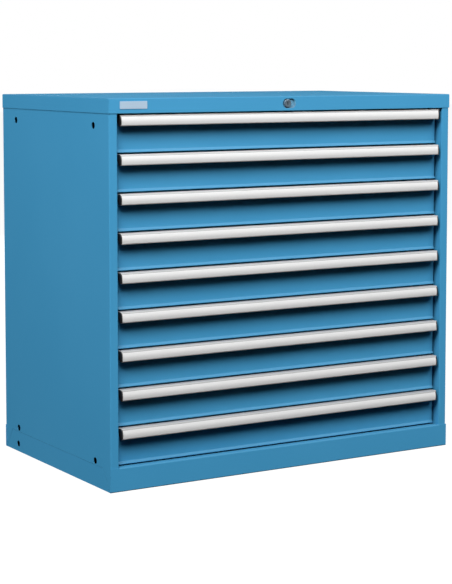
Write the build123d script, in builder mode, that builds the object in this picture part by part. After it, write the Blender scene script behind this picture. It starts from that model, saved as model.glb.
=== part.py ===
from build123d import *

import math
import os

os.makedirs("parts", exist_ok=True)

# Drawer tool cabinet in millimetres. X runs along the front, Y from front to back, Z up.
# The origin is on the floor, under the middle of the cabinet's box.

# Housing
cabinet_width = 1075.0
cabinet_depth = 645.0
drawer_count = 9
drawer_pitch = 99.6
base_rise = 62.0
cover_drop = 38.0
cover_gap = 3.6
shell_sheet = 1.2
shell_bend = 3.0
cover_bend = 2.5
post_width = 23.8
post_return = 33.0
post_lip = 12.0
rear_flange = 22.0
base_ledge = 40.0
base_ledge_lip = 14.0
base_side_rise = 57.0
base_side_front_inset = 42.0
base_side_rear_inset = 45.0
seam = 0.5

# Holes for joining cabinets side by side
join_hole_radius = 9.0
join_hole_inset_y = 87.5
join_hole_low_z = 67.5
join_hole_drop = 70.0
cable_hole_inset_y = 83.5
cable_hole_z = 21.5

# Uprights and cabinet rails
upright_width = 40.0
upright_depth = 16.0
upright_sheet = 1.5
upright_slot_width = 14.0
upright_slot_height = 4.0
upright_slot_pitch = 50.0
cross_member_lift = 0.8
rail_width = 11.5
rail_sheet = 1.5
rail_rear_gap = 38.0

# Telescopic beams and their rollers
roller_diameter = 20.0
roller_play = 0.3
roller_side_play = 0.4
beam_thickness = 4.0
beam_height = 24.0
beam_gap = 1.0
roller_end_inset = 17.0
roller_spacing = 245.0
axle_radius = 3.0
axle_play = 0.1

# Drawers
drawer_sheet = 1.0
front_gap = 8.7
front_top_gap = 0.6
front_bottom_gap = 3.6
front_recess = 21.5
front_depth = 12.0
front_bend = 1.5
front_flare = 5.0
front_flare_height = 8.0
front_rear_lip = 20.0
tray_rear_gap = 35.9
tray_lift = 14.0
tray_height = 74.0
tray_hem = 5.0
runner_height = 40.0

# Handles
handle_height = 27.2
handle_stand = 22.25
handle_radius = 40.0
handle_nose_drop = 17.5
handle_wall = 3.0
handle_roof = 2.2
handle_foot = 12.0
handle_foot_wall = 1.8
handle_cap = 3.0
handle_cap_foot = 14.0
label_depth = 1.5
label_top_margin = 4.0
label_bottom_margin = 1.4
label_play = 0.35

# Lock
lock_x = -4.5
lock_z_drop = 19.0
lock_stand = 1.0
lock_recess_length = 41.0
lock_recess_height = 26.0
lock_recess_depth = 4.0
lock_recess_shift = 5.0
lock_recess_draft = 28.0
collar_radius = 10.5
cylinder_radius = 9.0
cylinder_length = 22.0
cylinder_play = 0.1
lock_nut_radius = 12.5
lock_nut_thickness = 3.0
lock_nut_sides = 6
plug_radius = 6.4
plug_play = 0.08
plug_inset = 0.5
keyway_width = 2.4
keyway_height = 8.5
keyway_depth = 8.0
cam_thickness = 3.0
cam_edge = 2.0
cam_gap = 0.5
cam_pin_radius = 2.5

# Lock bar
bar_travel = 14.0
bar_turn = 90.0
bar_thickness = 3.0
bar_height = 18.0
bar_width = 10.0
bar_side_gap = 1.0
bar_play = 0.3
cam_slot_play = 0.6
bar_left_end = 30.0
catch_gap = 1.4
catch_sheet = 1.5
catch_seat = 0.1
catch_reach = 9.5
catch_low = 62.0
catch_height = 20.0
catch_guide_gap = 2.0
guide_wall = 3.0
guide_length = 16.0
guide_positions = (150.0, 400.0)
rail_bar_gap = 8.0
beam_bar_gap = 1.3

# Trim
nameplate_width = 77.8
nameplate_height = 19.2
nameplate_thickness = 0.8
nameplate_inset = 31.5
nameplate_drop = 17.3
nameplate_corner = 1.0
rivet_radius = 2.4
rivet_head_radius = 4.6
rivet_head_height = 1.0
rivet_head_round = 0.7
rivet_hole_play = 0.1
rivet_length = 5.0
rivet_rows = 6
rivet_edge = 90.0

# Places that follow from the sizes above
cabinet_height = base_rise + drawer_count * drawer_pitch + cover_gap + cover_drop
half_width = cabinet_width / 2
front_y = (lock_stand - cabinet_depth) / 2
back_y = front_y + cabinet_depth
middle_y = (front_y + back_y) / 2
cover_bottom = cabinet_height - cover_drop
shell_top = cabinet_height - cover_bend
body_half = half_width - shell_sheet
body_inner = body_half - shell_sheet
body_front = front_y + shell_sheet
body_back = back_y - 2 * shell_sheet
opening_half = body_half - post_width
post_back = body_front + post_return

rail_back = body_inner - upright_depth
rail_tip = rail_back - rail_width
beam_outer = rail_tip - beam_gap
beam_inner = beam_outer - beam_thickness
runner_tip = beam_inner - beam_gap
tray_half = runner_tip - rail_width
roller_width = rail_width + beam_gap - rail_sheet - 2 * roller_side_play
channel_half = roller_diameter / 2 + roller_play

panel_half = opening_half - front_gap
panel_y = body_front + front_recess
panel_back = panel_y + front_depth
tray_back = body_back - tray_rear_gap
tray_depth = tray_back - panel_back
catch_front = panel_back + catch_gap
bar_front = catch_front + catch_sheet + catch_seat
bar_back = bar_front + bar_thickness
beam_front = bar_back + beam_bar_gap
rail_front = bar_back + rail_bar_gap
rail_end = body_back - rail_rear_gap

lock_z = cabinet_height - lock_z_drop
recess_floor = front_y + lock_recess_depth
cam_front = bar_front - cam_gap - cam_thickness
cam_throw = bar_travel / (2 * math.sin(math.radians(bar_turn / 2)))
cam_pin_x = lock_x + bar_travel / 2
cam_pin_z = lock_z - cam_throw * math.cos(math.radians(bar_turn / 2))
bar_low = cover_bottom + guide_wall + bar_play + cross_member_lift
bar_high = bar_low + bar_height
bar_right = body_inner - bar_side_gap
leg_left = bar_right - bar_width

join_hole_high_z = cabinet_height - join_hole_drop
upright_ys = (front_y + join_hole_inset_y, back_y - join_hole_inset_y)
rivet_x = body_half - rear_flange / 2
rivet_pitch = (cabinet_height - 2 * rivet_edge) / (rivet_rows - 1)


def cell_bottom(number):
    """Height of the floor of a drawer's cell. Drawer 1 is the top one."""
    return base_rise + drawer_pitch * (drawer_count - number)


foot_low = cell_bottom(drawer_count) + catch_low - catch_guide_gap - guide_length
bar_bottom = foot_low + guide_wall + bar_play


def side_panel(name, about):
    """Side sheet with the front post and the rear flange folded from it."""
    fold = [
        (-opening_half - post_lip, post_back),
        (-opening_half, post_back),
        (-opening_half, body_front),
        (-body_half, body_front),
        (-body_half, body_back),
        (-body_half + rear_flange, body_back),
    ]
    base_notch = [
        (body_front + shell_bend, 0),
        (front_y + base_side_front_inset, base_side_rise),
        (back_y - base_side_rear_inset, base_side_rise),
        (body_back - shell_bend, 0),
    ]
    with BuildPart() as panel:
        with BuildSketch(Plane.XY.offset(shell_bend)):
            with BuildLine():
                FilletPolyline(*fold, radius=shell_bend)
                offset(amount=shell_sheet, side=Side.RIGHT)
            make_face()
        extrude(amount=shell_top - shell_bend)
        with BuildSketch(Plane.YZ.offset(-body_half)):
            with BuildLine():
                Polyline(*base_notch, close=True)
            make_face()
            with Locations(
                *[(y, z) for y in upright_ys for z in (join_hole_low_z, join_hole_high_z)]
            ):
                Circle(join_hole_radius)
        extrude(amount=shell_sheet, mode=Mode.SUBTRACT)
        with BuildSketch(Plane.XZ.offset(-body_back)):
            with Locations((-rivet_x, cabinet_height / 2)):
                with GridLocations(0, rivet_pitch, 1, rivet_rows):
                    Circle(rivet_radius + rivet_hole_play)
        extrude(amount=shell_sheet, mode=Mode.SUBTRACT)
        if about is not None:
            mirror(about=about, mode=Mode.REPLACE)
    panel.part.label = name
    export_step(panel.part, f"parts/{name}.step")


side_panel("side_panel_left", None)
side_panel("side_panel_right", Plane.YZ)

with BuildPart() as back_panel:
    with BuildSketch(Plane.XZ.offset(-body_back)):
        with Locations((0, (shell_bend + shell_top) / 2)):
            Rectangle(2 * body_half, shell_top - shell_bend)
        with Locations((0, cabinet_height / 2)):
            with GridLocations(2 * rivet_x, rivet_pitch, 2, rivet_rows):
                Circle(rivet_radius + rivet_hole_play, mode=Mode.SUBTRACT)
    extrude(amount=-shell_sheet)
back_panel.part.label = "back_panel"
export_step(back_panel.part, "parts/back_panel.step")

# Rivets that hold the back panel on the rear flanges of the side panels
with BuildPart() as back_rivets:
    with BuildSketch(Plane.XZ.offset(-body_back - shell_sheet)):
        with Locations((0, cabinet_height / 2)):
            with GridLocations(2 * rivet_x, rivet_pitch, 2, rivet_rows):
                Circle(rivet_head_radius)
    extrude(amount=-rivet_head_height)
    fillet(
        back_rivets.edges().filter_by(GeomType.CIRCLE).group_by(Axis.Y)[-1],
        radius=rivet_head_round,
    )
    with BuildSketch(Plane.XZ.offset(-body_back - shell_sheet)):
        with Locations((0, cabinet_height / 2)):
            with GridLocations(2 * rivet_x, rivet_pitch, 2, rivet_rows):
                Circle(rivet_radius)
    extrude(amount=rivet_length)
back_rivets.part.label = "back_rivets"
export_step(back_rivets.part, "parts/back_rivets.step")


def recess_outline(grow):
    """Rounded outline of the pressed lock recess, grown by an amount on every side."""
    with Locations((lock_x + lock_recess_shift, lock_z)):
        SlotOverall(lock_recess_length + 2 * grow, lock_recess_height + 2 * grow)


# The cover is open below; the lock's recess is pressed into its front flange
with BuildPart() as top_cover:
    with BuildSketch(Plane.XY.offset(cover_bottom)):
        with Locations((0, middle_y)):
            Rectangle(cabinet_width, cabinet_depth)
    extrude(amount=cover_drop)
    fillet(top_cover.faces().sort_by(Axis.Z)[-1].edges(), radius=cover_bend)
    offset(amount=-shell_sheet, openings=top_cover.faces().sort_by(Axis.Z)[0])
    with BuildSketch(Plane.XZ.offset(-front_y)):
        recess_outline(shell_sheet)
    extrude(amount=-lock_recess_depth - shell_sheet, taper=lock_recess_draft)
    with BuildSketch(Plane.XZ.offset(-front_y)):
        recess_outline(0)
    extrude(amount=-lock_recess_depth, taper=lock_recess_draft, mode=Mode.SUBTRACT)
    with BuildSketch(Plane.XZ.offset(-front_y)):
        with Locations((lock_x, lock_z)):
            Circle(cylinder_radius + cylinder_play)
    extrude(amount=-lock_recess_depth - cylinder_length, mode=Mode.SUBTRACT)
top_cover.part.label = "top_cover"
export_step(top_cover.part, "parts/top_cover.step")

# Folded pan that the cabinet stands on, with a ledge between the posts
ledge_half = opening_half - bar_play
flange_top = base_rise - shell_bend
ledge_fold = [
    (front_y + base_ledge, base_rise - base_ledge_lip),
    (front_y + base_ledge, base_rise),
    (front_y, base_rise),
    (front_y, flange_top - shell_bend),
]
pan_fold = [
    (front_y, flange_top),
    (front_y, 0),
    (back_y, 0),
    (back_y, base_rise),
]
side_flange = [
    (body_front + shell_bend + seam, 0),
    (front_y + base_side_front_inset + seam, base_side_rise - seam),
    (back_y - base_side_rear_inset - seam, base_side_rise - seam),
    (body_back - shell_bend - seam, 0),
]
with BuildPart() as base_pan:
    with BuildSketch(Plane.YZ.offset(-half_width)):
        with BuildLine():
            FilletPolyline(*pan_fold, radius=shell_bend)
            offset(amount=shell_sheet, side=Side.LEFT)
        make_face()
    extrude(amount=cabinet_width)
    with BuildSketch(Plane.YZ.offset(-ledge_half)):
        with BuildLine():
            FilletPolyline(*ledge_fold, radius=shell_bend)
            offset(amount=shell_sheet, side=Side.LEFT)
        make_face()
    extrude(amount=2 * ledge_half)
    # The front flange keeps its full height in front of the posts
    with BuildSketch(Plane.XZ.offset(-front_y)):
        with Locations((0, (flange_top + base_rise) / 2)):
            Rectangle(cabinet_width, base_rise - flange_top)
            Rectangle(2 * ledge_half, base_rise - flange_top, mode=Mode.SUBTRACT)
    extrude(amount=-shell_sheet)
    # Between the front and rear flanges the floor is as wide as the side panels
    with BuildSketch(Plane.XY):
        with Locations((0, middle_y)):
            Rectangle(cabinet_width, cabinet_depth - 2 * shell_bend)
            Rectangle(2 * body_half, cabinet_depth, mode=Mode.SUBTRACT)
    extrude(amount=shell_sheet, mode=Mode.SUBTRACT)
    with BuildSketch(Plane.YZ.offset(-body_half)):
        with BuildLine():
            Polyline(*side_flange, close=True)
        make_face()
        with Locations((back_y - cable_hole_inset_y, cable_hole_z)):
            Circle(join_hole_radius, mode=Mode.SUBTRACT)
    flange = extrude(amount=shell_sheet)
    mirror(flange, about=Plane.YZ)
base_pan.part.label = "base_pan"
export_step(base_pan.part, "parts/base_pan.step")

# Four channels behind the side panels, with slots that the rails hook into
upright_top = cabinet_height - shell_sheet
slot_count = int((upright_top - upright_slot_pitch) / upright_slot_pitch)
with BuildPart() as uprights:
    with BuildSketch(Plane.XY.offset(shell_sheet)):
        with Locations(*[((rail_back + body_inner) / 2, y) for y in upright_ys]):
            Rectangle(upright_depth, upright_width)
        with Locations(*[((rail_back + body_inner + upright_sheet) / 2, y) for y in upright_ys]):
            Rectangle(
                upright_depth - upright_sheet,
                upright_width - 2 * upright_sheet,
                mode=Mode.SUBTRACT,
            )
    extrude(amount=upright_top - shell_sheet)
    with BuildSketch(Plane.YZ.offset(rail_back)):
        with Locations(*[(y, cabinet_height / 2) for y in upright_ys]):
            with GridLocations(0, upright_slot_pitch, 1, slot_count):
                Rectangle(upright_slot_width, upright_slot_height)
    extrude(amount=upright_sheet, mode=Mode.SUBTRACT)
    mirror(about=Plane.YZ)
uprights.part.label = "uprights"
export_step(uprights.part, "parts/uprights.step")

# Channels that the rollers of the telescopic beams run in, one on each side of each drawer
with BuildPart() as cabinet_rails:
    for number in range(1, drawer_count + 1):
        rail_z = cell_bottom(number) + runner_height
        with BuildSketch(Plane.XZ.offset(-rail_front)):
            with Locations(((rail_tip + rail_back) / 2, rail_z)):
                Rectangle(rail_width, 2 * (channel_half + rail_sheet))
            with Locations(((rail_tip + rail_back - rail_sheet) / 2, rail_z)):
                Rectangle(rail_width - rail_sheet, 2 * channel_half, mode=Mode.SUBTRACT)
        extrude(amount=rail_front - rail_end)
    mirror(about=Plane.YZ)
cabinet_rails.part.label = "cabinet_rails"
export_step(cabinet_rails.part, "parts/cabinet_rails.step")

# Channel behind the front flange of the cover, from post to post
cross_fold = [
    (post_back, cabinet_height - shell_sheet),
    (body_front, cabinet_height - shell_sheet),
    (body_front, cover_bottom + cross_member_lift),
    (post_back, cover_bottom + cross_member_lift),
]
with BuildPart() as cross_member:
    with BuildSketch(Plane.YZ.offset(-opening_half)):
        with BuildLine():
            FilletPolyline(*cross_fold, radius=shell_bend)
            offset(amount=shell_sheet, side=Side.LEFT)
        make_face()
    extrude(amount=2 * opening_half)
    with BuildSketch(Plane.XZ.offset(-body_front)):
        recess_outline(shell_sheet + seam)
    extrude(amount=-lock_recess_depth, mode=Mode.SUBTRACT)
cross_member.part.label = "cross_member"
export_step(cross_member.part, "parts/cross_member.step")

with BuildPart() as nameplate:
    with BuildSketch(Plane.XZ.offset(-front_y)):
        with Locations(
            (nameplate_inset + nameplate_width / 2 - half_width, cabinet_height - nameplate_drop)
        ):
            RectangleRounded(nameplate_width, nameplate_height, nameplate_corner)
    extrude(amount=nameplate_thickness)
nameplate.part.label = "nameplate"
export_step(nameplate.part, "parts/nameplate.step")

# Lock barrel with its collar in front of the recess floor and its ring nut behind it
with BuildPart() as lock_cylinder:
    with BuildSketch(Plane.XZ.offset(-recess_floor)):
        with Locations((lock_x, lock_z)):
            Circle(collar_radius)
    extrude(amount=lock_recess_depth + lock_stand)
    fillet(
        lock_cylinder.faces().sort_by(Axis.Y)[0].edges(),
        radius=lock_stand,
    )
    with BuildSketch(Plane.XZ.offset(-recess_floor)):
        with Locations((lock_x, lock_z)):
            Circle(cylinder_radius)
    extrude(amount=-cylinder_length)
    with BuildSketch(Plane.XZ.offset(-front_y + lock_stand)):
        with Locations((lock_x, lock_z)):
            Circle(plug_radius + plug_play)
    extrude(amount=-lock_stand - lock_recess_depth - cylinder_length, mode=Mode.SUBTRACT)
    with BuildSketch(Plane.XZ.offset(-recess_floor - shell_sheet)):
        with Locations((lock_x, lock_z)):
            RegularPolygon(lock_nut_radius, lock_nut_sides, major_radius=False)
            Circle(cylinder_radius + cylinder_play, mode=Mode.SUBTRACT)
    extrude(amount=-lock_nut_thickness)
lock_cylinder.part.label = "lock_cylinder"
export_step(lock_cylinder.part, "parts/lock_cylinder.step")

with BuildPart() as lock_plug:
    with BuildSketch(Plane.XZ.offset(-front_y + lock_stand - plug_inset)):
        with Locations((lock_x, lock_z)):
            Circle(plug_radius)
    extrude(amount=-(cam_front - front_y + lock_stand - plug_inset))
    with BuildSketch(Plane.XZ.offset(-front_y + lock_stand - plug_inset)):
        with Locations((lock_x, lock_z)):
            Rectangle(keyway_width, keyway_height)
    extrude(amount=-keyway_depth, mode=Mode.SUBTRACT)
lock_plug.part.label = "lock_plug"
export_step(lock_plug.part, "parts/lock_plug.step")

# Lever on the plug's end, with the pin that shifts the lock bar
with BuildPart() as lock_cam:
    with BuildSketch(Plane.XZ.offset(-cam_front)):
        with Locations(((lock_x + cam_pin_x) / 2, (lock_z + cam_pin_z) / 2)):
            SlotCenterToCenter(
                cam_throw,
                2 * (cam_pin_radius + cam_edge),
                rotation=math.degrees(math.atan2(cam_pin_z - lock_z, cam_pin_x - lock_x)),
            )
    extrude(amount=-cam_thickness)
    with BuildSketch(Plane.XZ.offset(-cam_front - cam_thickness)):
        with Locations((cam_pin_x, cam_pin_z)):
            Circle(cam_pin_radius)
    extrude(amount=-cam_gap - bar_thickness - bar_play)
lock_cam.part.label = "lock_cam"
export_step(lock_cam.part, "parts/lock_cam.step")

# Flat bar across the top and down the right side, with a catch plate for each drawer on it
cam_slot_half = cam_pin_radius + cam_slot_play
cam_slot_top = cam_pin_z + cam_slot_half
with BuildPart() as lock_bar:
    with BuildSketch(Plane.XZ.offset(-bar_front)):
        with Locations(((bar_right - bar_left_end) / 2, (bar_low + bar_high) / 2)):
            Rectangle(bar_right + bar_left_end, bar_height)
        with Locations(((leg_left + bar_right) / 2, (bar_bottom + bar_high) / 2)):
            Rectangle(bar_width, bar_high - bar_bottom)
        with Locations((cam_pin_x, (bar_low + cam_slot_top) / 2)):
            Rectangle(2 * cam_slot_half, cam_slot_top - bar_low, mode=Mode.SUBTRACT)
    extrude(amount=-bar_thickness)
    with BuildSketch(Plane.XZ.offset(-catch_front)):
        for number in range(1, drawer_count + 1):
            catch_z = cell_bottom(number) + catch_low + catch_height / 2
            with Locations(((leg_left - catch_reach + bar_right) / 2, catch_z)):
                Rectangle(bar_right - leg_left + catch_reach, catch_height)
    extrude(amount=-catch_sheet)
lock_bar.part.label = "lock_bar"
export_step(lock_bar.part, "parts/lock_bar.step")

# Two guides on the cross member and one at the foot of the bar's right leg
guide_back = bar_back + bar_play + guide_wall
guide_low = cover_bottom + cross_member_lift
guide_high = bar_high + bar_play + guide_wall
foot_left = leg_left - bar_travel - bar_side_gap
with BuildPart() as lock_bar_guides:
    for guide_x in guide_positions:
        with BuildSketch(Plane.YZ.offset(guide_x)):
            with Locations(((post_back + guide_back) / 2, (guide_low + guide_high) / 2)):
                Rectangle(guide_back - post_back, guide_high - guide_low)
            with Locations(((bar_front + bar_back) / 2, (bar_low + bar_high) / 2)):
                Rectangle(
                    bar_thickness + 2 * bar_play,
                    bar_height + 2 * bar_play,
                    mode=Mode.SUBTRACT,
                )
        extrude(amount=guide_length)
    with BuildSketch(Plane.XY.offset(foot_low)):
        with Locations(((foot_left + body_inner) / 2, (post_back + guide_back) / 2)):
            Rectangle(body_inner - foot_left, guide_back - post_back)
    extrude(amount=guide_length)
    with BuildSketch(Plane.XY.offset(bar_bottom - bar_play)):
        with Locations(((foot_left + body_inner) / 2, (bar_front + bar_back) / 2)):
            Rectangle(body_inner - foot_left, bar_thickness + 2 * bar_play)
    extrude(amount=guide_length, mode=Mode.SUBTRACT)
lock_bar_guides.part.label = "lock_bar_guides"
export_step(lock_bar_guides.part, "parts/lock_bar_guides.step")


def drawer_front(number):
    """Folded front panel: box-like, with a flared lower edge and lips behind."""
    low = cell_bottom(number) + front_bottom_gap
    high = cell_bottom(number) + drawer_pitch - front_top_gap
    outline = [
        (panel_back, high),
        (panel_y, high),
        (panel_y, low + front_flare_height),
        (panel_y - front_flare, low),
        (panel_back, low),
    ]
    with BuildPart() as front:
        with BuildSketch(Plane.YZ.offset(-panel_half)):
            with BuildLine():
                FilletPolyline(*outline, radius=front_bend, close=True)
            make_face()
        extrude(amount=2 * panel_half)
        with BuildSketch(Plane.YZ.offset(-panel_half + drawer_sheet)):
            with BuildLine():
                FilletPolyline(*outline, radius=front_bend, close=True)
            make_face()
            offset(amount=-drawer_sheet, mode=Mode.REPLACE)
        extrude(amount=2 * (panel_half - drawer_sheet), mode=Mode.SUBTRACT)
        with BuildSketch(Plane.XZ.offset(-panel_back)):
            with Locations((0, (low + high) / 2)):
                Rectangle(
                    2 * (panel_half - front_rear_lip), high - low - 2 * front_rear_lip
                )
        extrude(amount=drawer_sheet, mode=Mode.SUBTRACT)
    front.part.label = f"drawer_{number}_front"
    export_step(front.part, f"parts/drawer_{number}_front.step")


def drawer_tray(number):
    """Sheet tray with a hem round its top and a running rail along each side."""
    low = cell_bottom(number) + tray_lift
    high = low + tray_height
    rail_z = cell_bottom(number) + runner_height
    with BuildPart() as tray:
        with BuildSketch(Plane.XY.offset(low)):
            with Locations((0, (panel_back + tray_back) / 2)):
                Rectangle(2 * tray_half, tray_depth)
        extrude(amount=tray_height)
        with BuildSketch(Plane.XY.offset(low + drawer_sheet)):
            with Locations((0, (panel_back + tray_back) / 2)):
                Rectangle(2 * (tray_half - drawer_sheet), tray_depth - 2 * drawer_sheet)
        extrude(amount=tray_height, mode=Mode.SUBTRACT)
        with BuildSketch(Plane.XY.offset(high - drawer_sheet)):
            with Locations((0, (panel_back + tray_back + tray_hem) / 2)):
                Rectangle(2 * (tray_half + tray_hem), tray_depth + tray_hem)
            with Locations((0, (panel_back + tray_back) / 2)):
                Rectangle(2 * (tray_half - drawer_sheet), tray_depth, mode=Mode.SUBTRACT)
        extrude(amount=drawer_sheet)
        with BuildSketch(Plane.XZ.offset(-panel_back)):
            for side in (-1, 1):
                with Locations((side * (tray_half + runner_tip) / 2, rail_z)):
                    Rectangle(rail_width, 2 * (channel_half + drawer_sheet))
                    Rectangle(rail_width, 2 * channel_half, mode=Mode.SUBTRACT)
        extrude(amount=-tray_depth)
    tray.part.label = f"drawer_{number}_tray"
    export_step(tray.part, f"parts/drawer_{number}_tray.step")


def handle_face(drop, inward):
    """Y of the handle's round face at a drop below its top, moved inward from the surface."""
    axis_y = panel_y - handle_stand + handle_radius
    return axis_y - math.sqrt((handle_radius - inward) ** 2 - (handle_nose_drop - drop) ** 2)


def face_arc(top, first_drop, last_drop, inward):
    """Arc along the handle's round face between two drops below its top."""
    drops = (first_drop, (first_drop + last_drop) / 2, last_drop)
    ThreePointArc(*[(handle_face(drop, inward), top - drop) for drop in drops])


def curved_strip(number, length, play, outer, inner):
    """Strip along the handle's face, between two depths in it and clear of its seat by a play."""
    top = cell_bottom(number) + drawer_pitch - front_top_gap
    first = label_top_margin + play
    last = handle_height - label_bottom_margin - play
    with BuildPart() as strip:
        with BuildSketch(Plane.YZ.offset(-length / 2)):
            with BuildLine():
                face_arc(top, first, last, outer)
                Line(
                    (handle_face(last, outer), top - last),
                    (handle_face(last, inner), top - last),
                )
                face_arc(top, last, first, inner)
                Line(
                    (handle_face(first, inner), top - first),
                    (handle_face(first, outer), top - first),
                )
            make_face()
        extrude(amount=length)
    return strip.part


def drawer_handle(number):
    """Handle profile that is open below, with a seat for the label and two end caps."""
    top = cell_bottom(number) + drawer_pitch - front_top_gap
    foot_y = panel_y - handle_foot_wall
    length = 2 * (panel_half - handle_cap)
    with BuildPart() as handle:
        with BuildSketch(Plane.YZ.offset(-length / 2)):
            with BuildLine():
                Line((panel_y, top), (handle_face(0, 0), top))
                face_arc(top, 0, handle_height, 0)
                Line(
                    (handle_face(handle_height, 0), top - handle_height),
                    (handle_face(handle_height, handle_wall), top - handle_height),
                )
                face_arc(top, handle_height, handle_roof, handle_wall)
                Polyline(
                    (handle_face(handle_roof, handle_wall), top - handle_roof),
                    (foot_y, top - handle_roof),
                    (foot_y, top - handle_foot),
                    (panel_y, top - handle_foot),
                    (panel_y, top),
                )
            make_face()
        extrude(amount=length)
        add(curved_strip(number, length, 0, -label_depth, label_depth), mode=Mode.SUBTRACT)
        with BuildSketch(Plane.YZ.offset(length / 2)):
            with BuildLine():
                Line((panel_y, top), (handle_face(0, 0), top))
                face_arc(top, 0, handle_height, 0)
                Polyline(
                    (handle_face(handle_height, 0), top - handle_height),
                    (panel_y - handle_cap_foot, top - handle_height),
                    (panel_y, top - handle_cap_foot),
                    (panel_y, top),
                )
            make_face()
        cap = extrude(amount=handle_cap)
        mirror(cap, about=Plane.YZ)
    handle.part.label = f"drawer_{number}_handle"
    export_step(handle.part, f"parts/drawer_{number}_handle.step")


def drawer_label(number):
    """White label strip with its cover, in the seat of the handle."""
    length = 2 * (panel_half - handle_cap - label_play)
    with BuildPart() as label:
        add(curved_strip(number, length, label_play, label_play, label_depth - label_play))
    label.part.label = f"drawer_{number}_label"
    export_step(label.part, f"parts/drawer_{number}_label.step")


def drawer_slides(number):
    """Telescopic beam on each side, with rollers towards the cabinet and the drawer."""
    rail_z = cell_bottom(number) + runner_height
    outward = [(rail_end - roller_end_inset - step * roller_spacing, rail_z) for step in (0, 1)]
    inward = [(beam_front + roller_end_inset + step * roller_spacing, rail_z) for step in (0, 1)]
    with BuildPart() as slides:
        with BuildSketch(Plane.YZ.offset(beam_inner)):
            with Locations(((beam_front + rail_end) / 2, rail_z)):
                Rectangle(rail_end - beam_front, beam_height)
        extrude(amount=beam_thickness)
        for places, face, direction in ((outward, beam_outer, 1), (inward, beam_inner, -1)):
            with BuildSketch(Plane.YZ.offset(face)):
                with Locations(*places):
                    Circle(axle_radius)
            extrude(amount=direction * (roller_width + roller_side_play))
            with BuildSketch(Plane.YZ.offset(face + direction * roller_side_play)):
                with Locations(*places):
                    Circle(roller_diameter / 2)
                    Circle(axle_radius + axle_play, mode=Mode.SUBTRACT)
            extrude(amount=direction * roller_width)
        mirror(about=Plane.YZ)
    slides.part.label = f"drawer_{number}_slides"
    export_step(slides.part, f"parts/drawer_{number}_slides.step")


for number in range(1, drawer_count + 1):
    drawer_front(number)
    drawer_tray(number)
    drawer_handle(number)
    drawer_label(number)
    drawer_slides(number)
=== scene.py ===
import math

import bmesh
import bpy
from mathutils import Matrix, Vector


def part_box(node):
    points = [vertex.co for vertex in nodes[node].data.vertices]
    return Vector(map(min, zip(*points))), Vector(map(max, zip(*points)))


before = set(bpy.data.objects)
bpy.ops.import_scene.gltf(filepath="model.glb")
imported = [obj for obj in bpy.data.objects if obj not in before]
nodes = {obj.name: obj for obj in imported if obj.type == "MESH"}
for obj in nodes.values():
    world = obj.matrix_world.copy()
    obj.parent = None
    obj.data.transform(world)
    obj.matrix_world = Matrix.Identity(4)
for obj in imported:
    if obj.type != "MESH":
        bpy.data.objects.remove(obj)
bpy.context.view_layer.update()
scene = bpy.context.scene

# Sizes of the cabinet and margins between its faces, in metres
DRAWER_COUNT = 9
CAP_WIDTH = 0.003
KEYWAY_HALF_WIDTH, KEYWAY_HALF_HEIGHT = 0.0013, 0.0044
ROLLER_INSET, ROLLER_SPACING, AXLE_RADIUS = 0.017, 0.245, 0.003
UPRIGHT_WIDTH, UPRIGHT_HOLLOW_WIDTH, UPRIGHT_HOLLOW_DEPTH = 0.040, 0.037, 0.0145
RECESS_LENGTH, RECESS_HEIGHT, RECESS_SHIFT = 0.041, 0.026, 0.005
TINY, AXLE_MARGIN = 1e-5, 5e-5

# Distances of rails and beams from the cabinet's middle, in metres
RAIL_START = 0.4901
BEAM_INNER, BEAM_OUTER = 0.5026, 0.5066

# Camera, with its place in metres and its angles in degrees
SENSOR_MM, LENS_MM = 36.0, 107.23
VIEW_SHIFT = -0.1507
CAMERA_PLACE = (-2.5347, -4.1772, 1.0953)
CAMERA_DIP, CAMERA_TURN = 4.734, 31.245
CLIP_START, CLIP_END = 0.1, 100.0

# Lights, floor and world
LIGHT_DISTANCE, LIGHT_TARGET = 6.0, Vector((0.0, -0.1, 0.5))
FLOOR_REACH = 30.0
FLOOR_GLOW, FLOOR_MATT = 0.95, (0.08, 0.08, 0.08)
WHITE, FILL_BLUE = (1.0, 1.0, 1.0), (0.85, 0.93, 1.0)
SEEN_STRENGTH, MIRRORED_STRENGTH, FILL_STRENGTH = 1.0, 0.06, 0.012

# Colours of the materials, each a darker and a lighter shade in linear light
SHELL_BLUE = (0.046, 0.274, 0.496), (0.053, 0.289, 0.516)
DRAWER_BLUE = (0.045, 0.264, 0.484), (0.052, 0.280, 0.504)
# Painted light: the lock recess is the cover's own paint, made lighter and greyer
RECESS_PAINTED_LIGHT_BLUE = (0.105, 0.255, 0.385), (0.115, 0.268, 0.402)
# Painted shade: near black for the inside of the uprights' channel, seen through the side panels' holes
UPRIGHT_SHADE_BLUE = (0.004, 0.024, 0.050), (0.005, 0.028, 0.058)
ZINC_GREY = (0.42, 0.44, 0.46), (0.62, 0.64, 0.66)
STEEL_GREY = (0.62, 0.63, 0.64), (0.74, 0.75, 0.76)
ALUMINIUM_GREY = (0.33, 0.333, 0.336), (0.38, 0.383, 0.386)
NAMEPLATE_BLUE = (0.45, 0.60, 0.75), (0.50, 0.655, 0.805)
CHROME_GREY = (0.20, 0.28, 0.35), (0.27, 0.36, 0.44)
CAP_BLACK = (0.010, 0.010, 0.011), (0.016, 0.016, 0.018)
# Painted shade: near black for the faces inside the lock plug's keyway
KEYWAY_SHADE_BLACK = (0.020, 0.019, 0.018), (0.040, 0.037, 0.033)
GUIDE_BLACK = (0.018, 0.018, 0.020), (0.028, 0.028, 0.030)
ROLLER_CREAM = (0.62, 0.62, 0.58), (0.70, 0.70, 0.66)
PAPER_WHITE = (0.62, 0.62, 0.618), (0.67, 0.67, 0.668)

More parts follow.
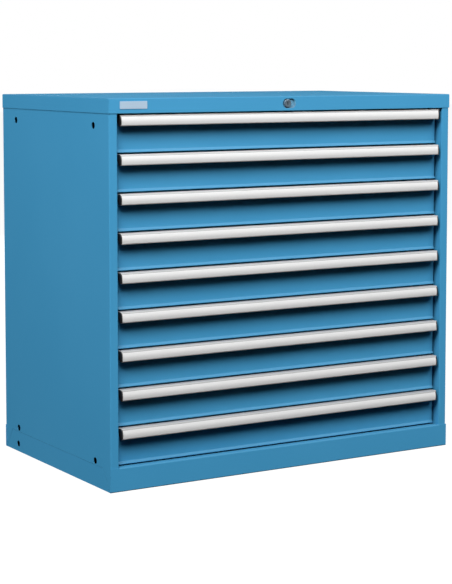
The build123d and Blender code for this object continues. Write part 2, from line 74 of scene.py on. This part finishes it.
# Painted light and shade: factors on the colour of painted faces by the way they look, darker on faces
# that look up and lighter on faces that look down
SHELL_UP_PAINTED_SHADE = (0.76, 0.65, 0.63)
DRAWER_UP_PAINTED_SHADE = (0.93, 0.77, 0.745)
RECESS_DOWN_PAINTED_LIGHT = (1.9, 2.3, 2.1)
NO_TONE = (1.0, 1.0, 1.0)

# Bands of a value that a material spreads over its whole range
NOISE_BAND, FIBRE_BAND = (0.3, 0.7), (0.25, 0.75)
UP_BAND, DOWN_BAND = (0.1, 0.5), (0.1, -0.6)

# Finishes, with each roughness from its least to its most
PAINT_ROUGHNESS, PAINT_SPECULAR = (0.55, 0.65), 0.2
ZINC_ROUGHNESS, ZINC_METALLIC = (0.34, 0.52), 0.9
PAPER_ROUGHNESS = (0.38, 0.46)
COVER_WEIGHT, COVER_ROUGHNESS = 0.1, 0.12


def add_camera():
    """Camera at the photograph's viewing angle."""
    data = bpy.data.cameras.new("camera")
    data.sensor_width = SENSOR_MM
    data.lens = LENS_MM
    data.shift_y = VIEW_SHIFT
    data.clip_start = CLIP_START
    data.clip_end = CLIP_END
    camera = bpy.data.objects.new("camera", data)
    camera.location = CAMERA_PLACE
    camera.rotation_euler = (math.radians(90 - CAMERA_DIP), 0.0, math.radians(-CAMERA_TURN))
    scene.collection.objects.link(camera)
    scene.camera = camera


def soft_light(name, azimuth, elevation, size, power, mirrored=True):
    """Area light aimed at the cabinet. Azimuth 0 is in front, and 90 on the right."""
    data = bpy.data.lights.new(name, "AREA")
    data.shape = "RECTANGLE"
    data.size, data.size_y = size
    data.energy = power
    lamp = bpy.data.objects.new(name, data)
    around, up = math.radians(azimuth), math.radians(elevation)
    outward = Vector(
        (math.sin(around) * math.cos(up), -math.cos(around) * math.cos(up), math.sin(up))
    )
    lamp.location = LIGHT_TARGET + outward * LIGHT_DISTANCE
    lamp.rotation_mode = "QUATERNION"
    lamp.rotation_quaternion = (-outward).to_track_quat("-Z", "Y")
    lamp.visible_camera = False
    lamp.visible_glossy = mirrored
    scene.collection.objects.link(lamp)


def background(graph, colour, strength):
    """Even light from all round."""
    shader = graph.nodes.new("ShaderNodeBackground")
    shader.inputs["Color"].default_value = (*colour, 1.0)
    shader.inputs["Strength"].default_value = strength
    return shader.outputs["Background"]


def choose_shader(graph, test, otherwise, chosen):
    """One shader where the test is 1, and the other elsewhere."""
    mix = graph.nodes.new("ShaderNodeMixShader")
    graph.links.new(test, mix.inputs[0])
    graph.links.new(otherwise, mix.inputs[1])
    graph.links.new(chosen, mix.inputs[2])
    return mix.outputs["Shader"]


def add_world():
    """Background that the camera sees white, and that lights the cabinet only faintly."""
    world = bpy.data.worlds.new("studio")
    scene.world = world
    world.use_nodes = True
    graph = world.node_tree
    graph.nodes.clear()
    end = graph.nodes.new("ShaderNodeOutputWorld")
    rays = graph.nodes.new("ShaderNodeLightPath")
    seen = background(graph, WHITE, SEEN_STRENGTH)
    fill = background(graph, FILL_BLUE, FILL_STRENGTH)
    mirrored = background(graph, WHITE, MIRRORED_STRENGTH)
    unseen = choose_shader(graph, rays.outputs["Is Glossy Ray"], fill, mirrored)
    shown = choose_shader(graph, rays.outputs["Is Camera Ray"], unseen, seen)
    graph.links.new(shown, end.inputs["Surface"])


def new_material(name):
    """Gives a new material, its node graph, the shader on its output and object coordinates."""
    material = bpy.data.materials.new(name)
    material.use_nodes = True
    graph = material.node_tree
    graph.nodes.clear()
    shader = graph.nodes.new("ShaderNodeBsdfPrincipled")
    end = graph.nodes.new("ShaderNodeOutputMaterial")
    graph.links.new(shader.outputs["BSDF"], end.inputs["Surface"])
    place = graph.nodes.new("ShaderNodeTexCoord")
    return material, graph, shader, place.outputs["Object"]


def noise(graph, place, scale, detail=2.0, roughness=0.5, stretch=(1.0, 1.0, 1.0)):
    """Noise in object space. The scale is in waves to a metre before the stretch."""
    mapping = graph.nodes.new("ShaderNodeMapping")
    mapping.inputs["Scale"].default_value = stretch
    graph.links.new(place, mapping.inputs["Vector"])
    texture = graph.nodes.new("ShaderNodeTexNoise")
    texture.inputs["Scale"].default_value = scale
    texture.inputs["Detail"].default_value = detail
    texture.inputs["Roughness"].default_value = roughness
    graph.links.new(mapping.outputs["Vector"], texture.inputs["Vector"])
    return texture.outputs["Fac"]


def spread(graph, value, band, ends=(0.0, 1.0)):
    """Maps a band of a value to its two ends."""
    mapped = graph.nodes.new("ShaderNodeMapRange")
    mapped.inputs["From Min"].default_value = band[0]
    mapped.inputs["From Max"].default_value = band[1]
    mapped.inputs["To Min"].default_value = ends[0]
    mapped.inputs["To Max"].default_value = ends[1]
    graph.links.new(value, mapped.inputs["Value"])
    return mapped.outputs["Result"]


def shade(graph, value, shades):
    """Colour between the dark and the light shade."""
    mix = graph.nodes.new("ShaderNodeMix")
    mix.data_type = "RGBA"
    mix.inputs["A"].default_value = (*shades[0], 1.0)
    mix.inputs["B"].default_value = (*shades[1], 1.0)
    graph.links.new(value, mix.inputs["Factor"])
    return mix.outputs["Result"]


def apply_painted_shade_and_light(graph, colour, normal, band, tone):
    """Paints light or shade by the way a face looks: multiplies a colour by a factor as the height of a
    normal goes through a band.
    """
    split = graph.nodes.new("ShaderNodeSeparateXYZ")
    graph.links.new(normal, split.inputs["Vector"])
    mix = graph.nodes.new("ShaderNodeMix")
    mix.data_type = "RGBA"
    mix.blend_type = "MULTIPLY"
    mix.inputs["B"].default_value = (*tone, 1.0)
    graph.links.new(spread(graph, split.outputs["Z"], band), mix.inputs["Factor"])
    graph.links.new(colour, mix.inputs["A"])
    return mix.outputs["Result"]


def bump(graph, height, strength, depth, under=None):
    """Normal with bumps of a depth in metres, over another normal if there is one."""
    node = graph.nodes.new("ShaderNodeBump")
    node.inputs["Strength"].default_value = strength
    node.inputs["Distance"].default_value = depth
    graph.links.new(height, node.inputs["Height"])
    if under:
        graph.links.new(under, node.inputs["Normal"])
    return node.outputs["Normal"]


def link_surface(graph, shader, colour, roughness, normal):
    """Links a material's colour, roughness and normal to its shader."""
    graph.links.new(colour, shader.inputs["Base Color"])
    graph.links.new(roughness, shader.inputs["Roughness"])
    graph.links.new(normal, shader.inputs["Normal"])


def paint(name, shades, up_painted_shade=SHELL_UP_PAINTED_SHADE, down_painted_light=NO_TONE):
    """Powder coat: fine orange peel, slightly uneven, with painted shade on faces that look up and
    painted light on faces that look down.
    """
    material, graph, shader, place = new_material(name)
    broad = noise(graph, place, scale=2.2, detail=3.0)
    fine = noise(graph, place, scale=900.0, roughness=0.6)
    peel = noise(graph, place, scale=330.0, roughness=0.45)
    facing = graph.nodes.new("ShaderNodeNewGeometry")
    colour = shade(graph, spread(graph, broad, NOISE_BAND), shades)
    colour = apply_painted_shade_and_light(graph, colour, facing.outputs["True Normal"], UP_BAND, up_painted_shade)
    colour = apply_painted_shade_and_light(graph, colour, facing.outputs["Normal"], DOWN_BAND, down_painted_light)
    roughness = spread(graph, fine, NOISE_BAND, PAINT_ROUGHNESS)
    peeled = bump(graph, peel, strength=0.25, depth=0.0003)
    normal = bump(graph, fine, strength=0.2, depth=0.00008, under=peeled)
    link_surface(graph, shader, colour, roughness, normal)
    shader.inputs["Specular IOR Level"].default_value = PAINT_SPECULAR
    return material


def zinc(name):
    """Galvanised sheet with soft spangles."""
    material, graph, shader, place = new_material(name)
    cells = graph.nodes.new("ShaderNodeTexVoronoi")
    cells.inputs["Scale"].default_value = 110.0
    graph.links.new(place, cells.inputs["Vector"])
    spangles = graph.nodes.new("ShaderNodeRGBToBW")
    graph.links.new(cells.outputs["Color"], spangles.inputs["Color"])
    cloud = noise(graph, place, scale=14.0, detail=4.0, roughness=0.6)
    colour = shade(graph, spangles.outputs["Val"], ZINC_GREY)
    roughness = spread(graph, cloud, NOISE_BAND, ZINC_ROUGHNESS)
    spangled = bump(graph, spangles.outputs["Val"], strength=0.05, depth=0.0002)
    normal = bump(graph, cloud, strength=0.1, depth=0.0004, under=spangled)
    link_surface(graph, shader, colour, roughness, normal)
    shader.inputs["Metallic"].default_value = ZINC_METALLIC
    return material


def brushed(name, shades, stretch, rough, metallic):
    """Metal with fine lines, whose stretch is in waves to a metre along each axis."""
    material, graph, shader, place = new_material(name)
    lines = noise(graph, place, scale=1.0, detail=3.0, roughness=0.6, stretch=stretch)
    cloud = noise(graph, place, scale=9.0, detail=3.0)
    colour = shade(graph, spread(graph, lines, NOISE_BAND), shades)
    roughness = spread(graph, cloud, NOISE_BAND, rough)
    link_surface(graph, shader, colour, roughness, bump(graph, lines, strength=0.12, depth=0.00005))
    shader.inputs["Metallic"].default_value = metallic
    return material


def plastic(name, shades, rough):
    """Moulded plastic with a fine grain."""
    material, graph, shader, place = new_material(name)
    grain = noise(graph, place, scale=1600.0, roughness=0.6)
    cloud = noise(graph, place, scale=20.0)
    colour = shade(graph, spread(graph, cloud, NOISE_BAND), shades)
    roughness = spread(graph, grain, NOISE_BAND, rough)
    link_surface(graph, shader, colour, roughness, bump(graph, grain, strength=0.15, depth=0.00006))
    return material


def label_paper(name):
    """White paper strip with faint fibres under a clear cover."""
    material, graph, shader, place = new_material(name)
    fibres = noise(graph, place, scale=700.0, detail=4.0, roughness=0.7, stretch=(0.35, 1.0, 1.0))
    cloud = noise(graph, place, scale=6.0)
    colour = shade(graph, spread(graph, fibres, FIBRE_BAND), PAPER_WHITE)
    roughness = spread(graph, cloud, NOISE_BAND, PAPER_ROUGHNESS)
    link_surface(graph, shader, colour, roughness, bump(graph, fibres, strength=0.05, depth=0.00005))
    shader.inputs["Coat Weight"].default_value = COVER_WEIGHT
    shader.inputs["Coat Roughness"].default_value = COVER_ROUGHNESS
    return material


def dress(name, *materials):
    """Gives a CAD node its materials."""
    slots = nodes[name].data.materials
    slots.clear()
    for material in materials:
        slots.append(material)


def dress_faces(name, choose):
    """Sets each face's material from the corners of the face."""
    mesh = nodes[name].data
    for face in mesh.polygons:
        face.material_index = choose([mesh.vertices[i].co for i in face.vertices])


def middle(corners):
    """Middle of a face's corners."""
    return sum(corners, Vector()) / len(corners)


def keyway_part(corners):
    """Plug 0, faces inside its keyway 1, painted near black as painted shade in the slot."""
    spot = middle(corners)
    across, up = abs(spot.x - plug_middle.x), abs(spot.z - plug_middle.z)
    inside = across < KEYWAY_HALF_WIDTH and up < KEYWAY_HALF_HEIGHT
    return 1 if inside and spot.y > plug_low.y + TINY else 0


def cover_part(corners):
    """Cover 0, walls and floor of the lock's recess 1, which get a lighter, greyer paint as painted
    light.
    """
    spot = middle(corners)
    across = max(abs(corner.x - plug_middle.x - RECESS_SHIFT) for corner in corners)
    up = max(abs(corner.z - plug_middle.z) for corner in corners)
    inside = across < RECESS_LENGTH / 2 + TINY and up < RECESS_HEIGHT / 2 + TINY
    return 1 if inside and spot.y > cover_front + TINY else 0


def upright_part(corners):
    """Zinc 0, faces inside the channel, behind the holes of the side panels, 1, painted near black as
    painted shade in the holes.
    """
    spot = middle(corners)
    off_centre = min(abs(spot.y - place) for place in upright_centres)
    inside = abs(spot.x) > upright_side - UPRIGHT_HOLLOW_DEPTH - TINY
    return 1 if inside and off_centre < UPRIGHT_HOLLOW_WIDTH / 2 + TINY else 0


def handle_part(corners):
    """Aluminium 0, end cap 1."""
    return 1 if abs(middle(corners).x) > cap_start else 0


def tray_part(corners):
    """Painted tray 0, running rail 1."""
    return 1 if abs(middle(corners).x) > RAIL_START + TINY else 0


def slide_chooser(low, high):
    """Function for a drawer's slides, from their box: beams and axles 0, rollers 1."""
    axle_height = (low.z + high.z) / 2
    first_axles = low.y + ROLLER_INSET, high.y - ROLLER_INSET - ROLLER_SPACING
    axles = [first + step for first in first_axles for step in (0, ROLLER_SPACING)]

    def slide_part(corners):
        spot = middle(corners)
        if BEAM_INNER - TINY < abs(spot.x) < BEAM_OUTER + TINY:
            return 0
        axle = min(axles, key=lambda place: abs(spot.y - place))
        reach = max(math.hypot(corner.y - axle, corner.z - axle_height) for corner in corners)
        return 0 if reach < AXLE_RADIUS + AXLE_MARGIN else 1

    return slide_part


def add_floor():
    """White floor that glows for the camera alone and takes the cabinet's faint shadow."""
    mesh = bpy.data.meshes.new("floor")
    shape = bmesh.new()
    bmesh.ops.create_grid(shape, x_segments=1, y_segments=1, size=FLOOR_REACH)
    shape.to_mesh(mesh)
    shape.free()
    material = bpy.data.materials.new("floor_white")
    material.use_nodes = True
    graph = material.node_tree
    graph.nodes.clear()
    end = graph.nodes.new("ShaderNodeOutputMaterial")
    both = graph.nodes.new("ShaderNodeAddShader")
    glow = graph.nodes.new("ShaderNodeEmission")
    glow.inputs["Strength"].default_value = FLOOR_GLOW
    matt = graph.nodes.new("ShaderNodeBsdfDiffuse")
    matt.inputs["Color"].default_value = (*FLOOR_MATT, 1.0)
    graph.links.new(glow.outputs[0], both.inputs[0])
    graph.links.new(matt.outputs[0], both.inputs[1])
    graph.links.new(both.outputs[0], end.inputs["Surface"])
    mesh.materials.append(material)
    floor_object = bpy.data.objects.new("floor", mesh)
    scene.collection.objects.link(floor_object)
    floor_object.visible_diffuse = False
    floor_object.visible_glossy = False
    return floor_object


# Camera, lights and world
add_camera()
scene.view_settings.view_transform = "Standard"
soft_light("left_front_light", azimuth=-49, elevation=50, size=(3.0, 3.0), power=492)
soft_light("right_front_light", azimuth=40, elevation=46, size=(3.1, 3.1), power=325)
soft_light("left_light", azimuth=-95, elevation=4, size=(3.6, 2.6), power=94)
soft_light("back_light", azimuth=165, elevation=12, size=(3.6, 2.6), power=260, mirrored=False)
add_world()

# Materials
shell_paint = paint("shell_paint", SHELL_BLUE)
drawer_paint = paint("drawer_paint", DRAWER_BLUE, up_painted_shade=DRAWER_UP_PAINTED_SHADE)
# Painted light on the lock recess: lighter, greyer paint, and brighter still on faces that look down
recess_painted_light = paint("recess_painted_light", RECESS_PAINTED_LIGHT_BLUE, down_painted_light=RECESS_DOWN_PAINTED_LIGHT)
# Painted shade: near black paint inside the uprights, so the side panels' holes look dark
upright_painted_shade = paint("upright_painted_shade", UPRIGHT_SHADE_BLUE)
zinc_steel = zinc("zinc_steel")
bright_steel = brushed("bright_steel", STEEL_GREY, (900, 900, 900), rough=(0.22, 0.32), metallic=1.0)
aluminium = brushed("handle_aluminium", ALUMINIUM_GREY, (6, 1800, 1800), rough=(0.50, 0.58), metallic=0.3)
nameplate_metal = brushed("nameplate", NAMEPLATE_BLUE, (14, 1500, 1500), rough=(0.40, 0.48), metallic=0.3)
lock_chrome = brushed("lock_chrome", CHROME_GREY, (1200, 1200, 1200), rough=(0.28, 0.38), metallic=0.7)
cap_black = plastic("cap_black", CAP_BLACK, rough=(0.38, 0.52))
# Painted shade: the keyway's faces get a near-black finish that stands in for the shade in the slot
keyway_painted_shade = plastic("keyway_painted_shade", KEYWAY_SHADE_BLACK, rough=(0.30, 0.45))
guide_plastic = plastic("guide_plastic", GUIDE_BLACK, rough=(0.38, 0.50))
roller_plastic = plastic("roller_plastic", ROLLER_CREAM, rough=(0.32, 0.44))
label_white = label_paper("label_white")

# Housing and lock
for name in ("side_panel_left", "side_panel_right", "back_panel", "base_pan", "cross_member"):
    dress(name, shell_paint)
for name in ("cabinet_rails", "lock_cam", "lock_bar"):
    dress(name, zinc_steel)
dress("top_cover", shell_paint, recess_painted_light)
dress("back_rivets", bright_steel)
dress("uprights", zinc_steel, upright_painted_shade)
dress("lock_bar_guides", guide_plastic)
dress("nameplate", nameplate_metal)
dress("lock_cylinder", lock_chrome)
dress("lock_plug", lock_chrome, keyway_painted_shade)

plug_low, plug_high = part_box("lock_plug")
plug_middle = (plug_low + plug_high) / 2
cap_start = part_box("drawer_1_handle")[1].x - CAP_WIDTH
cover_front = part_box("top_cover")[0].y
uprights_low, uprights_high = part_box("uprights")
upright_side = uprights_high.x
upright_centres = uprights_low.y + UPRIGHT_WIDTH / 2, uprights_high.y - UPRIGHT_WIDTH / 2
dress_faces("lock_plug", keyway_part)
dress_faces("uprights", upright_part)
dress_faces("top_cover", cover_part)

# Drawers
for number in range(1, DRAWER_COUNT + 1):
    dress(f"drawer_{number}_front", drawer_paint)
    dress(f"drawer_{number}_tray", drawer_paint, zinc_steel)
    dress_faces(f"drawer_{number}_tray", tray_part)
    dress(f"drawer_{number}_handle", aluminium, cap_black)
    dress_faces(f"drawer_{number}_handle", handle_part)
    dress(f"drawer_{number}_label", label_white)
    dress(f"drawer_{number}_slides", zinc_steel, roller_plastic)
    low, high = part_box(f"drawer_{number}_slides")
    dress_faces(f"drawer_{number}_slides", slide_chooser(low, high))

# Floor
floor = add_floor()
